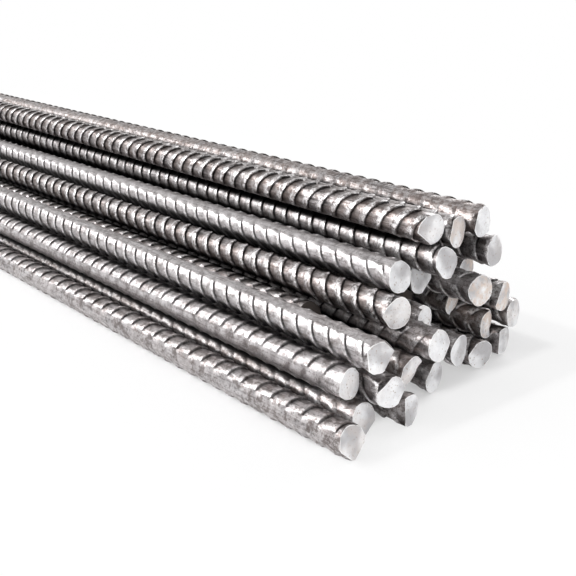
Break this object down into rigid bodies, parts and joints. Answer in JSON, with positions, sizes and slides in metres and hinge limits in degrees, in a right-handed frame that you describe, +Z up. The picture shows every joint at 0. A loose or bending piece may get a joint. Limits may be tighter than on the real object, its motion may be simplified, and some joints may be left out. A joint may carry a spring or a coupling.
{
  "type": "rebar bundle",
  "caption": "Loose bundle of ribbed steel reinforcing bars with sheared ends, stacked lengthwise on the floor.",
  "frame": {"origin": "on the floor, under the middle of the bundle's bounding box", "axes": "+X along the bars towards the ends that fan out, +Y across the pile, +Z up"},
  "size_m": [1.072, 0.178, 0.0892],
  "materials": {
    "bar_steel": "hot rolled with grey mill scale, bright sheared ends, slight rust"
  },
  "bodies": {
    "root": {"bar_01": "bar_steel", "bar_02": "bar_steel", "bar_03": "bar_steel", "bar_04": "bar_steel", "bar_05": "bar_steel", "bar_06": "bar_steel", "bar_07": "bar_steel", "bar_08": "bar_steel", "bar_09": "bar_steel", "bar_10": "bar_steel", "bar_11": "bar_steel", "bar_12": "bar_steel", "bar_13": "bar_steel", "bar_14": "bar_steel", "bar_15": "bar_steel", "bar_16": "bar_steel", "bar_17": "bar_steel", "bar_18": "bar_steel", "bar_19": "bar_steel", "bar_20": "bar_steel", "bar_21": "bar_steel", "bar_22": "bar_steel", "bar_23": "bar_steel", "bar_24": "bar_steel", "bar_25": "bar_steel", "bar_26": "bar_steel", "bar_27": "bar_steel", "bar_28": "bar_steel", "bar_29": "bar_steel", "bar_30": "bar_steel", "bar_31": "bar_steel", "bar_32": "bar_steel", "bar_33": "bar_steel", "bar_34": "bar_steel", "bar_35": "bar_steel", "bar_36": "bar_steel"}
  },
  "joints": []
}
